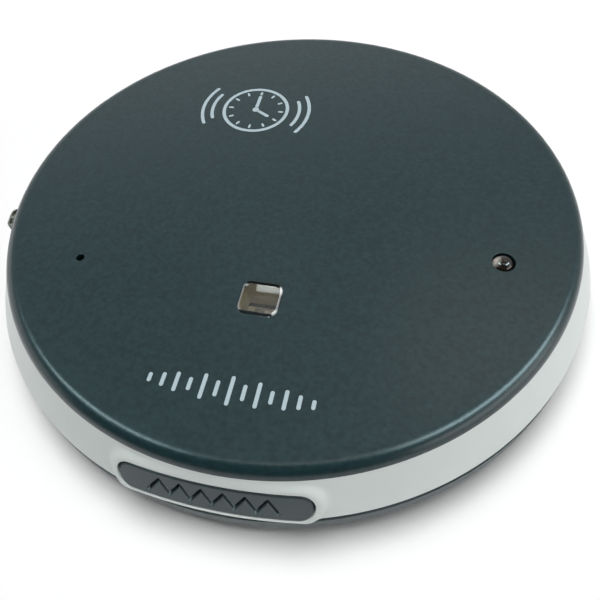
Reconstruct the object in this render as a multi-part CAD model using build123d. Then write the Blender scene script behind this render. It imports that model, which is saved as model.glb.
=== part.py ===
"""A round bed shaker alarm clock: a flat puck that goes under a pillow.

Millimetres. The origin is on the table under the centre of the disc, +Z is up, the snooze button
faces -Y and +X is to the right. The case is a dark cover, a pale flared band and a dark base. The
motor with its eccentric weight, two AA cells, the circuit board and the display lie inside.
"""
import os
from math import asin, cos, degrees, radians, sin, tan

from build123d import *

# Case: cover, band and base
case_height = 22.5
cover_radius = 67.0
cover_wall = 2.2
edge_round = 3.2
rim_height = 2.4
band_height = 9.1
band_flare = 4.4
band_wall = 2.0
band_lip = 1.2
seam_gap = 0.5
seam_rebate = 1.0
flange_width = 3.5
flange_thickness = 1.6
skirt_wall = 1.4
base_wall = 2.0
bottom_round = 5.5
tongue_wall = 1.4
tongue_height = 1.2
fit_gap = 0.2

# Feet and case screws
foot_height = 1.2
foot_radius = 5.0
foot_recess = 0.8
foot_margin = 13.0
foot_front_angle = 35.0
foot_back_angle = 45.0
boss_radius = 3.4
boss_margin = 10.0
boss_front_angle = 36.5
boss_back_angle = 60.0
pillar_height = 5.3
screw_radius = 1.4
screw_head_radius = 2.7
screw_head_height = 2.0
screw_head_depth = 0.3
screw_length = 12.0
screw_gap = 0.05
screw_clearance = 0.2

# Snooze button and its pad on the band
snooze_length = 38.4
snooze_height = 5.9
snooze_rise = 3.6
snooze_gap = 0.35
snooze_recess = 0.3
snooze_lean = 5.0
snooze_travel = 1.0
snooze_lip = 0.9
pad_radius = 112.0
pad_draft = 25.0
snooze_flange_reach = 1.5
snooze_flange_thickness = 1.2
snooze_flange_gap = 0.3
snooze_flange_lift = 0.4
snooze_stem_width = 4.0
snooze_stem_height = 3.0
snooze_stem_length = 1.6
snooze_switch_width = 7.0
snooze_switch_depth = 5.2
snooze_switch_rise = 2.8
snooze_plunger_radius = 1.4
snooze_plunger_entry = 1.2

# Alarm slide switch on the left
thumb_angle = 191.5
thumb_drop = 3.0
thumb_length = 6.0
thumb_height = 2.0
thumb_reach = 1.75
thumb_round = 1.6
thumb_edge = 0.35
thumb_gap = 0.25
thumb_travel = 1.0
thumb_rim = 0.55
thumb_rib = 0.9
thumb_pocket = 0.8
neck_length = 2.2
neck_height = 1.4
slot_gap = 0.2
arm_thickness = 1.4
arm_length = 4.0
arm_gap = 2.6
arm_clear = 0.4
slider_size = 2.0
slider_height = 2.2
slider_gap = 0.1
slide_switch_length = 8.6
slide_switch_depth = 4.6
slide_switch_height = 4.2
slide_switch_inset = 1.5

# Flash window, light sensor and sounder under the cover, their places as shares of its radius
window_x = 0.2
window_y_share = -0.4463
window_length = 8.8
window_width = 8.4
window_corner = 1.6
lens_gap = 0.1
lens_proud = 0.5
lens_bevel = 0.6
lens_flange_reach = 1.2
lens_flange_thickness = 0.8
reflector_wall = 1.0
throat_corner = 0.2
led_size = 5.0
led_height = 1.6
led_dome_radius = 1.9
sensor_x_share = 0.7373
sensor_y_share = -0.1746
sensor_radius = 2.38
sensor_gap = 0.12
sensor_length = 8.6
sensor_proud = 0.9
sensor_flange_reach = 0.5
sensor_flange_thickness = 1.0
sensor_lead_radius = 0.25
sensor_lead_pitch = 2.54
sensor_lead_tail = 1.0
sound_hole_x_share = -0.6343
sound_hole_y_share = -0.3881
sound_hole_radius = 0.95
buzzer_radius = 6.0
buzzer_port_radius = 1.0
gasket_width = 2.5
gasket_thickness = 1.5

# Circuit board
board_thickness = 1.6
board_margin = 7.0
board_rear = 8.0
board_hole_gap = 0.8
post_radius = 2.6
post_lead_gap = 3.4
post_rear_inset = 6.0
post_front_angle = 14.2
post_front_inset = 2.9
board_screw_radius = 1.0
board_screw_head_radius = 1.9
board_screw_head_height = 1.3
board_screw_length = 5.0
chip_x = -20.0
chip_y = -33.0
chip_size = 9.0
chip_height = 1.6
crystal_y = -46.0
crystal_length = 6.0
crystal_radius = 1.0
capacitor_x = 26.0
capacitor_y = -30.0
capacitor_radius = 4.0
capacitor_clear = 1.5

# Display and setting keys on the underside
display_y_share = -0.388
glass_length = 46.0
glass_width = 24.0
glass_thickness = 2.8
display_end_border = 3.0
display_side_border = 3.5
display_window_thickness = 1.0
display_window_margin = 3.0
display_window_depth = 0.1
glass_gap = 0.15
frame_wall = 2.2
zebra_width = 2.2
zebra_margin = 1.0
key_names = ["time_key", "alarm_key", "hour_key", "minute_key"]
key_pitch = 14.0
key_y_share = -0.709
key_radius = 3.5
key_gap = 0.15
key_proud = 0.7
key_round = 0.4
key_flange_reach = 0.8
key_flange_thickness = 0.8
key_rest_gap = 0.2
key_stem_radius = 1.6
key_stem_length = 1.5
key_travel = 0.5
tact_size = 6.0
tact_plunger_radius = 1.75
tact_plunger_proud = 1.0
tact_plunger_entry = 0.5
plunger_gap = 0.08
plunger_spare = 0.3

# Motor and eccentric weight
motor_x = -22.0
motor_y_share = 0.0537
motor_length = 25.0
motor_radius = 10.2
motor_boss_radius = 3.0
motor_boss_length = 1.5
end_cap_radius = 9.2
end_cap_thickness = 2.3
terminal_length = 2.0
terminal_spacing = 7.0
terminal_rise = 4.2
shaft_radius = 1.0
shaft_gap = 0.04
shaft_entry = 12.0
weight_gap = 1.0
weight_length = 7.0
weight_clear = 0.15
weight_hub_radius = 2.6
saddle_thickness = 2.0
saddle_height = 6.3
saddle_wall = 1.0
saddle_gap = 0.15
saddle_inset = 3.0
motor_pad_length = 14.0
motor_pad_width = 10.0
motor_pad_thickness = 1.0

# Battery bay for two AA cells, contacts and door
cell_nub_radius = 2.75
cell_nub_length = 1.3
cell_gap = 0.4
bay_front_share = 0.2239
bay_half_share = 0.4157
bay_wall = 1.8
bay_roof = 1.4
bay_roof_gap = 0.5
contact_space = 2.6
contact_thickness = 0.4
contact_width = 9.0
contact_height = 9.0
contact_gap = 0.05
link_height = 4.5
leaf_width = 5.0
leaf_height = 6.0
tail_width = 3.0
tail_length = 2.2
tail_rise = 3.25
tail_gap = 0.2
door_thickness = 1.8
door_ledge = 0.8
door_gap = 0.25
door_rest_gap = 0.1
door_tab_radius = 4.2
door_screw_margin = 4.6
door_grip_count = 3
door_grip_pitch = 3.0
door_grip_length = 18.0
door_grip_width = 1.0
door_grip_height = 0.4
door_boss_radius = 3.2
door_boss_height = 6.0
door_screw_sink = 0.9
door_screw_spare = 1.0

# Internal wires
wire_radius = 0.65
bend_share = 0.45
motor_lead_space = 0.7
battery_lead_space = 1.55
lead_drop_y = -13.0
lead_pitch = 3.2

# Levels and radii that follow
base_bottom = foot_height
floor_z = base_bottom + base_wall
ceiling_z = case_height - cover_wall
band_top = case_height - rim_height
band_bottom = band_top - band_height
base_top = band_bottom - seam_gap
band_low_radius = cover_radius + band_flare
base_radius = band_low_radius
seat_radius = band_low_radius - band_lip
flange_inner = cover_radius - flange_width
flange_bottom = band_top - flange_thickness
skirt_outer = flange_inner - fit_gap
skirt_inner = skirt_outer - skirt_wall
skirt_bottom = flange_bottom - fit_gap
tongue_top = base_top + tongue_height
snooze_z = band_bottom + snooze_rise
thumb_z = band_top - thumb_drop
board_top = snooze_z - snooze_switch_rise
board_bottom = board_top - board_thickness
pillar_top = floor_z + pillar_height
motor_z = (floor_z + ceiling_z) / 2
motor_flat_height = ceiling_z - floor_z - 2 * motor_pad_thickness
weight_radius = motor_flat_height / 2 - weight_clear
bay_ceiling = ceiling_z - bay_roof_gap - bay_roof
door_top = base_bottom + door_thickness
cell_bottom = door_top + door_rest_gap + cell_gap
cell_radius = (bay_ceiling - cell_gap - cell_bottom) / 2
cell_z = cell_bottom + cell_radius
tail_z = cell_z + tail_rise


def band_outer(z):
    """Radius of the band's flared outer face at height z."""
    return cover_radius + band_flare * (band_top - z) / band_height


def band_inner(z):
    """Radius of the band's inner face at height z."""
    return band_outer(z) - band_wall


tongue_outer = band_inner(tongue_top) - fit_gap
tongue_inner = tongue_outer - tongue_wall
board_radius = tongue_inner - board_margin
boss_circle = tongue_inner - boss_margin
foot_circle = tongue_inner - foot_margin


def disc(x, y, z0, z1, radius):
    """Upright cylinder between two heights."""
    return Pos(x, y, (z0 + z1) / 2) * Cylinder(radius, z1 - z0)


def rod_x(x0, x1, y, z, radius):
    """Cylinder along X between two ends."""
    return Pos((x0 + x1) / 2, y, z) * Rot(0, 90, 0) * Cylinder(radius, x1 - x0)


def rod_y(y0, y1, x, z, radius):
    """Cylinder along Y between two ends."""
    return Pos(x, (y0 + y1) / 2, z) * Rot(90, 0, 0) * Cylinder(radius, y1 - y0)


def block(x0, x1, y0, y1, z0, z1):
    """Box between two corners."""
    return Pos((x0 + x1) / 2, (y0 + y1) / 2, (z0 + z1) / 2) * Box(x1 - x0, y1 - y0, z1 - z0)


def centred(x, y, length, width, z0, z1):
    """Box centred on a point, between two heights."""
    return Pos(x, y, (z0 + z1) / 2) * Box(length, width, z1 - z0)


def slab(sketch, z0, z1):
    """A flat outline drawn in plan, raised between two heights."""
    return Pos(0, 0, z0) * extrude(sketch, z1 - z0)


def turned(points):
    """A closed outline of radius and height, turned about the disc's axis."""
    face = make_face(Plane.XZ * Polyline(*points, close=True))
    return revolve(face, Axis.Z)


def frustum(low_radius, high_radius, z0, z1):
    """Solid cone frustum on the disc's axis."""
    return turned([(0, z0), (low_radius, z0), (high_radius, z1), (0, z1)])


def on_circle(radius, angle):
    """A point in plan, by its radius and its angle from +X."""
    return (radius * cos(radians(angle)), radius * sin(radians(angle)))


def save(shape, name):
    """Write one piece, or one group of like pieces, under its node name."""
    export_step(shape, f"parts/{name}.step")


def save_group(solids, name):
    """Write separate like solids as one node."""
    save(Compound(children=[piece.solid() for piece in solids]), name)


window_y = window_y_share * cover_radius
sensor_x = sensor_x_share * cover_radius
sensor_y = sensor_y_share * cover_radius
sound_hole_x = sound_hole_x_share * cover_radius
sound_hole_y = sound_hole_y_share * cover_radius
display_y = display_y_share * cover_radius
motor_y = motor_y_share * cover_radius
bay_front = bay_front_share * cover_radius
bay_y0 = bay_front + bay_wall
boss_points = [
    on_circle(boss_circle, -90 - boss_front_angle),
    on_circle(boss_circle, -90 + boss_front_angle),
    on_circle(boss_circle, 90 - boss_back_angle),
    on_circle(boss_circle, 90 + boss_back_angle),
]
front_bosses = boss_points[:2]
foot_points = [
    on_circle(foot_circle, -foot_front_angle),
    on_circle(foot_circle, 180 + foot_front_angle),
    on_circle(foot_circle, foot_back_angle),
    on_circle(foot_circle, 180 - foot_back_angle),
]
cell_y = [bay_y0 + cell_gap + cell_radius]
cell_y.append(cell_y[0] + 2 * cell_radius + cell_gap)
bay_y1 = cell_y[1] + cell_radius + cell_gap
bay_half = bay_half_share * cover_radius
cell_length = 2 * (bay_half - contact_space)
motor_lead_x = motor_x - end_cap_thickness - terminal_length
motor_drops = [motor_lead_x - motor_lead_space - i * lead_pitch for i in range(2)]
battery_lead_x = -bay_half - bay_wall - tail_length
battery_drop = min(battery_lead_x - battery_lead_space, motor_drops[1] - lead_pitch)
battery_drops = [battery_drop - i * lead_pitch for i in range(2)]
post_rear_x = post_lead_gap - battery_drops[1]
post_rear_y = -(board_rear + post_rear_inset)
post_circle = board_radius - post_front_inset
post_points = [
    (-post_rear_x, post_rear_y),
    (post_rear_x, post_rear_y),
    on_circle(post_circle, -90 - post_front_angle),
    on_circle(post_circle, -90 + post_front_angle),
]
key_y = key_y_share * cover_radius
key_points = [((i - (len(key_names) - 1) / 2) * key_pitch, key_y) for i in range(len(key_names))]
door_screw_y = bay_y1 + bay_wall + door_screw_margin
sensor_top = case_height + sensor_proud
sensor_bottom = sensor_top - sensor_length
sensor_leads_x = [sensor_x - sensor_lead_pitch / 2, sensor_x + sensor_lead_pitch / 2]
key_flange_z = floor_z + key_rest_gap
key_flange_top = key_flange_z + key_flange_thickness
key_top = key_flange_top + key_stem_length
tact_bottom = key_top + tact_plunger_proud
buzzer_top = ceiling_z - gasket_thickness
capacitor_top = ceiling_z - capacitor_clear
view_length = glass_length - 2 * display_end_border
view_width = glass_width - 2 * display_side_border

screw_seat = base_bottom + screw_head_depth + screw_head_height
screw_tip = screw_seat + screw_length
board_screw_tip = board_top - board_screw_length
door_screw_seat = base_bottom + door_screw_sink
door_screw_tip = floor_z + door_boss_height - door_screw_spare
snooze_flange_z0 = tongue_top + snooze_flange_lift
snooze_flange_z1 = snooze_z + snooze_height / 2 - snooze_gap
snooze_flange_outer = band_inner(snooze_flange_z1) - snooze_flange_gap
snooze_back = snooze_flange_outer - snooze_flange_thickness
snooze_stem_end = snooze_stem_length - snooze_back
snooze_switch_front = -board_radius
slider_z = board_top + slider_height
arm_inner = flange_inner + arm_clear
slide_switch_front = board_radius - slide_switch_inset
lens_flange_z = ceiling_z - lens_flange_thickness
display_window_z = base_bottom + display_window_depth
glass_top = floor_z + glass_thickness
zebra_length = glass_length - 2 * zebra_margin
zebra_offset = glass_width / 2 - zebra_margin - zebra_width / 2
zebra_y = [display_y - zebra_offset, display_y + zebra_offset]
weight_x = motor_x + motor_length + motor_boss_length + weight_gap
shaft_start = motor_x + motor_length - shaft_entry
shaft_end = weight_x + weight_length
terminal_y = [motor_y - terminal_spacing / 2, motor_y + terminal_spacing / 2]
terminal_z = motor_z + terminal_rise


# Case

def window_outline(length, width, corner):
    """Rounded square of the flash window, in plan."""
    return Pos(window_x, window_y) * RectangleRounded(length, width, corner)


def make_cover():
    """Dark disc with a rolled rim, a locating skirt, four screw bosses and three openings."""
    roll_start = degrees(asin(1 - rim_height / edge_round))
    rim = cover_radius - edge_round * cos(radians(roll_start))
    outline = Polyline(
        (0, case_height), (0, ceiling_z), (skirt_inner, ceiling_z), (skirt_inner, skirt_bottom),
        (skirt_outer, skirt_bottom), (skirt_outer, band_top), (cover_radius, band_top),
    )
    roll = CenterArc((rim, case_height - edge_round), edge_round, roll_start, 90 - roll_start)
    crown = Line((rim, case_height), (0, case_height))
    cover = revolve(make_face(Plane.XZ * (Curve() + [outline, roll, crown])), Axis.Z)
    for x, y in boss_points:
        cover += disc(x, y, pillar_top, ceiling_z, boss_radius)
    for x, y in boss_points:
        cover -= disc(x, y, pillar_top, screw_tip + fit_gap, screw_radius + screw_gap)
    cover -= slab(window_outline(window_length, window_width, window_corner), ceiling_z, case_height)
    cover -= disc(sensor_x, sensor_y, ceiling_z, case_height, sensor_radius + sensor_gap)
    cover -= disc(sound_hole_x, sound_hole_y, ceiling_z, case_height, sound_hole_radius)
    return cover


def snooze_slot(grow, y0, y1, draft=0):
    """Stadium of the snooze opening, grown all round, as a bar along Y; a draft widens it inwards."""
    outline = SlotOverall(snooze_length + 2 * grow, snooze_height + 2 * grow)
    front = Plane(origin=(0, y0, snooze_z), x_dir=(1, 0, 0), z_dir=(0, 1, 0))
    return extrude(front * outline, y1 - y0, taper=-draft)


def pad_cone(inset, lean=0):
    """The flatter cone that faces the snooze pad, set in at its middle and leaning out below."""
    middle = band_outer(snooze_z)
    z0 = band_bottom - rim_height
    z1 = band_top + rim_height
    slant = tan(radians(lean))
    low = pad_radius + band_outer(z0) - middle - inset + slant * (snooze_z - z0)
    high = pad_radius + band_outer(z1) - middle - inset - slant * (z1 - snooze_z)
    return Pos(0, pad_radius - middle, 0) * frustum(low, high, z0, z1)


def make_band():
    """Pale flared ring with the snooze pad, whose ends stand proud, and the slot of the alarm switch."""
    band = turned([
        (cover_radius, band_top), (band_low_radius, band_bottom), (seat_radius, band_bottom),
        (seat_radius, base_top), (band_inner(band_bottom), base_top), (band_inner(band_bottom), band_bottom),
        (band_inner(flange_bottom), flange_bottom), (flange_inner, flange_bottom), (flange_inner, band_top),
    ])
    front = -band_low_radius
    hollow = frustum(band_inner(base_top), band_inner(band_top), base_top, band_top)
    span = 2 * band_low_radius
    pad = snooze_slot(snooze_lip, front, -flange_inner, pad_draft) & pad_cone(0)
    pad &= block(-span, span, -span, 0, band_bottom, band_top)
    band += pad - hollow
    band -= snooze_slot(0, front - snooze_lip, -flange_inner)
    slot_length = neck_length + 2 * (thumb_travel + slot_gap)
    slot_height = neck_height + 2 * slot_gap
    slot = block(flange_inner, span, -slot_length / 2, slot_length / 2,
                 thumb_z - slot_height / 2, thumb_z + slot_height / 2)
    return band - Rot(0, 0, thumb_angle) * slot


def door_outline(grow):
    """Plan of the battery door with the round tab that takes its screw."""
    length = 2 * (bay_half + door_ledge + grow)
    width = bay_y1 - bay_y0 + 2 * (door_ledge + grow)
    plate = Pos(0, (bay_y0 + bay_y1) / 2) * Rectangle(length, width)
    neck_end = door_screw_y - bay_y1
    neck = Pos(0, bay_y1 + neck_end / 2) * Rectangle(2 * (door_tab_radius + grow), neck_end)
    return plate + neck + Pos(0, door_screw_y) * Circle(door_tab_radius + grow)


def motor_outline(grow):
    """End view of the motor can: a circle with two flats, grown all round."""
    flats = Rectangle(2 * (motor_radius + grow), motor_flat_height + 2 * grow)
    return Circle(motor_radius + grow) & flats


def motor_bar(x0, x1, grow):
    """Bar of the motor's section along X."""
    end = Plane(origin=(x0, motor_y, motor_z), x_dir=(0, 1, 0), z_dir=(1, 0, 0))
    return extrude(end * motor_outline(grow), x1 - x0)


def make_base():
    """Dark shell with the battery bay, motor saddles, posts, pillars and openings in its floor."""
    round_z = base_bottom + bottom_round
    flat = base_radius - bottom_round
    outside = Polyline((0, floor_z), (0, base_bottom), (flat, base_bottom))
    turn = CenterArc((flat, round_z), bottom_round, -90, 90)
    inside = Polyline(
        (base_radius, round_z), (base_radius, base_top - seam_rebate), (seat_radius, base_top - seam_rebate),
        (seat_radius, base_top), (tongue_outer, base_top), (tongue_outer, tongue_top),
        (tongue_inner, tongue_top), (tongue_inner, round_z), (flat - base_wall, floor_z), (0, floor_z),
    )
    base = revolve(make_face(Plane.XZ * (Curve() + [outside, turn, inside])), Axis.Z)

    base += block(-bay_half - bay_wall, bay_half + bay_wall, bay_front, bay_y1 + bay_wall,
                  floor_z, bay_ceiling + bay_roof)
    saddle_half = motor_radius + saddle_gap + saddle_wall
    saddle_top = floor_z + saddle_height
    for x in (motor_x + saddle_inset, motor_x + motor_length - saddle_inset - saddle_thickness):
        base += block(x, x + saddle_thickness, motor_y - saddle_half, motor_y + saddle_half,
                      floor_z, saddle_top)
    base -= motor_bar(motor_x, motor_x + motor_length, saddle_gap)
    for x, y in boss_points:
        base += disc(x, y, floor_z, pillar_top, boss_radius)
    for x, y in post_points:
        base += disc(x, y, floor_z, board_bottom, post_radius)
    base += disc(0, door_screw_y, floor_z, floor_z + door_boss_height, door_boss_radius)

    base -= slab(door_outline(door_gap), base_bottom, door_top + door_rest_gap)
    base -= block(-bay_half, bay_half, bay_y0, bay_y1, base_bottom, bay_ceiling)
    base -= disc(0, door_screw_y, base_bottom, door_screw_tip + fit_gap, screw_radius + screw_gap)
    for y in cell_y:
        half = tail_width / 2 + tail_gap
        base -= block(-bay_half - bay_wall, -bay_half, y - half, y + half,
                      tail_z - contact_thickness / 2 - tail_gap, tail_z + contact_thickness / 2 + tail_gap)
    for x, y in boss_points:
        base -= disc(x, y, base_bottom, pillar_top, screw_radius + screw_clearance)
        base -= disc(x, y, base_bottom, screw_seat, screw_head_radius + screw_clearance)
    for x, y in post_points:
        base -= disc(x, y, board_screw_tip - fit_gap, board_bottom, board_screw_radius + screw_gap)
    for x, y in foot_points:
        base -= disc(x, y, base_bottom, base_bottom + foot_recess, foot_radius + screw_gap)
    base -= centred(0, display_y, view_length, view_width, base_bottom, floor_z)
    margin = 2 * (display_window_margin + glass_gap)
    base -= centred(0, display_y, view_length + margin, view_width + margin, base_bottom,
                    display_window_z + display_window_thickness)
    for x, y in key_points:
        base -= disc(x, y, base_bottom, floor_z, key_radius + key_gap)
    return base


def screw(x, y, seat, tip, radius, head_radius, head_height):
    """Pan-head screw from its seat to its tip; the head lies beyond the seat."""
    side = 1 if tip < seat else -1
    shank = disc(x, y, min(seat, tip), max(seat, tip), radius)
    head_end = seat + side * head_height
    return shank + disc(x, y, min(seat, head_end), max(seat, head_end), head_radius)


def make_door():
    """Flat battery door with grip ridges and a countersunk pocket for its screw."""
    door = slab(door_outline(0), base_bottom, door_top)
    for i in range(door_grip_count):
        y = bay_y0 + door_ledge + (i + 1) * door_grip_pitch
        door += centred(0, y, door_grip_length, door_grip_width, base_bottom - door_grip_height, base_bottom)
    door -= disc(0, door_screw_y, base_bottom, door_top, screw_radius + screw_gap)
    return door - disc(0, door_screw_y, base_bottom, door_screw_seat, screw_head_radius + screw_gap)


# Snooze button

def make_snooze():
    """Stadium button, sunk in the pad at its top, with end flanges and a stem to its switch."""
    button = snooze_slot(-snooze_gap, -2 * band_low_radius, 0) & pad_cone(snooze_recess, snooze_lean)
    half_length = snooze_length / 2 + snooze_flange_reach
    flange = block(-half_length, half_length, -snooze_flange_outer, 0, snooze_flange_z0, snooze_flange_z1)
    button += flange & disc(0, 0, floor_z, case_height, snooze_flange_outer)
    button -= disc(0, 0, floor_z, case_height, snooze_back)
    half_width = snooze_stem_width / 2
    half_height = snooze_stem_height / 2
    return button + block(-half_width, half_width, -snooze_flange_outer, snooze_stem_end,
                          snooze_z - half_height, snooze_z + half_height)


def make_snooze_switch():
    """Side-acting push switch on the front edge of the board."""
    half = snooze_switch_width / 2
    body = block(-half, half, snooze_switch_front, snooze_switch_front + snooze_switch_depth,
                 board_top, snooze_z + snooze_switch_rise)
    bore_end = snooze_switch_front + snooze_plunger_entry + snooze_travel + plunger_spare
    return body - rod_y(snooze_switch_front, bore_end, 0, snooze_z, snooze_plunger_radius + plunger_gap)


# Alarm slide switch

def thumb_plan(root, reach, inset):
    """Plan of the thumb, set in all round but at its root: a bar with round outer corners."""
    length = reach - inset - root
    bar = RectangleRounded(2 * length, thumb_length - 2 * inset, thumb_round - inset)
    return Pos(root, 0) * bar


def make_thumb():
    """Thumb of the alarm switch: a round-ended tab with two pockets, a neck and a forked arm inside."""
    root = flange_inner + arm_gap
    tip = band_outer(thumb_z) + thumb_reach
    z0 = thumb_z - thumb_height / 2
    z1 = thumb_z + thumb_height / 2
    head = slab(thumb_plan(root, tip, 0), z0, z1)
    head = fillet(head.edges().group_by(Axis.Z)[-1] + head.edges().group_by(Axis.Z)[0], thumb_edge)
    pocket = slab(thumb_plan(root, tip, thumb_rim), z1 - thumb_pocket, z1)
    head -= pocket - block(root, tip, -thumb_rib / 2, thumb_rib / 2, z0, z1)
    gap_radius = thumb_gap + cover_radius
    head -= frustum(gap_radius + band_flare, gap_radius, band_bottom, band_top)
    neck = block(arm_inner, band_outer(thumb_z) + thumb_reach / 2, -neck_length / 2, neck_length / 2,
                 thumb_z - neck_height / 2, thumb_z + neck_height / 2)
    arm_low = slider_z - slider_size / 2 - slider_gap - arm_thickness / 2
    arm = block(arm_inner, arm_inner + arm_thickness, -arm_length / 2, arm_length / 2, arm_low,
                thumb_z + neck_height / 2)
    fork = slider_size / 2 + slider_gap
    arm -= block(arm_inner, arm_inner + arm_thickness, -fork, fork, slider_z - fork, slider_z + fork)
    return Rot(0, 0, thumb_angle) * (head + neck + arm)


def make_slide_switch():
    """Body of the slide switch on the left edge of the board, with the slot that its slider runs in."""
    body = block(slide_switch_front - slide_switch_depth, slide_switch_front, -slide_switch_length / 2,
                 slide_switch_length / 2, board_top, board_top + slide_switch_height)
    half_length = slider_size / 2 + thumb_travel + slider_gap
    half_height = slider_size / 2 + slider_gap
    body -= block(slide_switch_front - slide_switch_depth / 2, slide_switch_front, -half_length, half_length,
                  slider_z - half_height, slider_z + half_height)
    return Rot(0, 0, thumb_angle) * body


def make_slider():
    """Slider of the slide switch, held in the fork of the thumb's arm."""
    half = slider_size / 2
    inner = slide_switch_front - slide_switch_depth / 2 + slider_gap
    outer = arm_inner + arm_thickness
    return Rot(0, 0, thumb_angle) * block(inner, outer, -half, half, slider_z - half, slider_z + half)


# Flash window, light sensor and sounder

def make_lens():
    """Clear raised lens with a bevelled edge and a flange under the cover."""
    gap = 2 * lens_gap
    plan = window_outline(window_length - gap, window_width - gap, window_corner - lens_gap)
    body = slab(plan, ceiling_z, case_height + lens_proud)
    body = chamfer(body.faces().sort_by(Axis.Z)[-1].edges(), lens_bevel)
    reach = 2 * lens_flange_reach
    flange = window_outline(window_length + reach, window_width + reach, window_corner)
    return body + slab(flange, lens_flange_z, ceiling_z)


def make_reflector():
    """Square funnel between the flash lamp and the lens."""
    length = window_length + 2 * lens_flange_reach
    width = window_width + 2 * lens_flange_reach
    tower = centred(window_x, window_y, length, width, board_top, lens_flange_z)
    walls = 2 * reflector_wall
    mouth = Pos(0, 0, lens_flange_z) * window_outline(length - walls, width - walls, window_corner)
    throat_size = led_size + 2 * lens_gap
    throat = Pos(window_x, window_y, board_top) * RectangleRounded(throat_size, throat_size, throat_corner)
    return tower - loft([throat.face(), mouth.face()], ruled=True)


def make_lamp():
    """Flash lamp: a square package with a shallow dome."""
    package = centred(window_x, window_y, led_size, led_size, board_top, board_top + led_height)
    dome = Pos(window_x, window_y, board_top + led_height) * Sphere(led_dome_radius)
    lower = disc(window_x, window_y, board_top - led_size, board_top + led_height / 2, led_size)
    return package + (dome - lower)


def make_sensor():
    """Dark domed light sensor: a flange, a round body and a dome."""
    shoulder = sensor_top - sensor_radius
    body = disc(sensor_x, sensor_y, sensor_bottom, shoulder, sensor_radius)
    body += Pos(sensor_x, sensor_y, shoulder) * Sphere(sensor_radius)
    return body + disc(sensor_x, sensor_y, sensor_bottom, sensor_bottom + sensor_flange_thickness,
                       sensor_radius + sensor_flange_reach)


def make_sensor_spacer():
    """Plastic stand-off between the board and the sensor's flange."""
    spacer = disc(sensor_x, sensor_y, board_top, sensor_bottom, sensor_radius + sensor_flange_reach)
    for x in sensor_leads_x:
        spacer -= disc(x, sensor_y, board_top, sensor_bottom, sensor_lead_radius + screw_gap)
    return spacer


def make_buzzer():
    """Round sounder on the board with its port under the sound hole."""
    can = disc(sound_hole_x, sound_hole_y, board_top, buzzer_top, buzzer_radius)
    port_bottom = buzzer_top - buzzer_port_radius
    return can - disc(sound_hole_x, sound_hole_y, port_bottom, buzzer_top, buzzer_port_radius)


def make_gasket():
    """Foam ring between the sounder and the cover."""
    ring = disc(sound_hole_x, sound_hole_y, buzzer_top, ceiling_z, buzzer_radius)
    return ring - disc(sound_hole_x, sound_hole_y, buzzer_top, ceiling_z, buzzer_radius - gasket_width)


# Circuit board

def make_board():
    """Half-moon circuit board with clearance for the front screw bosses and its own screws."""
    board = disc(0, 0, board_bottom, board_top, board_radius)
    board -= block(-cover_radius, cover_radius, -board_rear, cover_radius, board_bottom, board_top)
    for x, y in front_bosses:
        board -= disc(x, y, board_bottom, board_top, boss_radius + board_hole_gap)
    for x, y in post_points:
        board -= disc(x, y, board_bottom, board_top, board_screw_radius + screw_clearance)
    for x in sensor_leads_x:
        board -= disc(x, sensor_y, board_bottom, board_top, sensor_lead_radius + screw_gap)
    return board


# Display and setting keys

def make_display_frame():
    """Frame that holds the display glass on the floor and guides the two contact strips."""
    gap = 2 * glass_gap
    walls = 2 * frame_wall
    frame = centred(0, display_y, glass_length + gap + walls, glass_width + gap + walls,
                    floor_z, board_bottom)
    frame -= centred(0, display_y, glass_length + gap, glass_width + gap, floor_z, glass_top)
    for y in zebra_y:
        frame -= centred(0, y, zebra_length + gap, zebra_width + gap, glass_top, board_bottom)
    return frame


def make_key(x, y):
    """Round setting key: a cap below the floor, a retaining flange and a stem."""
    cap = disc(x, y, base_bottom - key_proud, key_flange_z, key_radius)
    cap = fillet(cap.edges().sort_by(Axis.Z)[0], key_round)
    cap += disc(x, y, key_flange_z, key_flange_top, key_radius + key_flange_reach)
    return cap + disc(x, y, key_flange_top, key_top, key_stem_radius)


def make_tact(x, y):
    """Push switch under the board, with the bore of its plunger."""
    body = centred(x, y, tact_size, tact_size, tact_bottom, board_bottom)
    bore_top = tact_bottom + tact_plunger_entry + key_travel + plunger_spare
    return body - disc(x, y, tact_bottom, bore_top, tact_plunger_radius + plunger_gap)


def make_tact_plunger(x, y):
    """Plunger of a push switch, standing on its key's stem."""
    return disc(x, y, key_top, tact_bottom + tact_plunger_entry, tact_plunger_radius)


# Motor

def make_can():
    """Steel motor can with a bearing boss and the bore for its shaft."""
    front = motor_x + motor_length
    can = motor_bar(motor_x, front, 0)
    can += rod_x(front, front + motor_boss_length, motor_y, motor_z, motor_boss_radius)
    return can - rod_x(shaft_start - shaft_radius, front + motor_boss_length, motor_y, motor_z,
                       shaft_radius + shaft_gap)


def make_end_cap():
    """Plastic end cap with two terminals."""
    back = motor_x - end_cap_thickness
    cap = rod_x(back, motor_x, motor_y, motor_z, end_cap_radius)
    flats = motor_flat_height / 2
    cap &= block(back, motor_x, motor_y - motor_radius, motor_y + motor_radius,
                 motor_z - flats, motor_z + flats)
    for y in terminal_y:
        cap += block(back - terminal_length, back, y - wire_radius, y + wire_radius,
                     terminal_z - wire_radius, terminal_z + wire_radius)
    return cap


def make_weight():
    """Half disc on a hub that throws the motor off balance."""
    sector = rod_x(weight_x, shaft_end, motor_y, motor_z, weight_radius)
    sector -= block(weight_x, shaft_end, motor_y - weight_radius, motor_y + weight_radius,
                    motor_z, motor_z + weight_radius)
    hub = rod_x(weight_x, shaft_end, motor_y, motor_z, weight_hub_radius)
    return sector + hub - rod_x(weight_x, shaft_end, motor_y, motor_z, shaft_radius)


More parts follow.
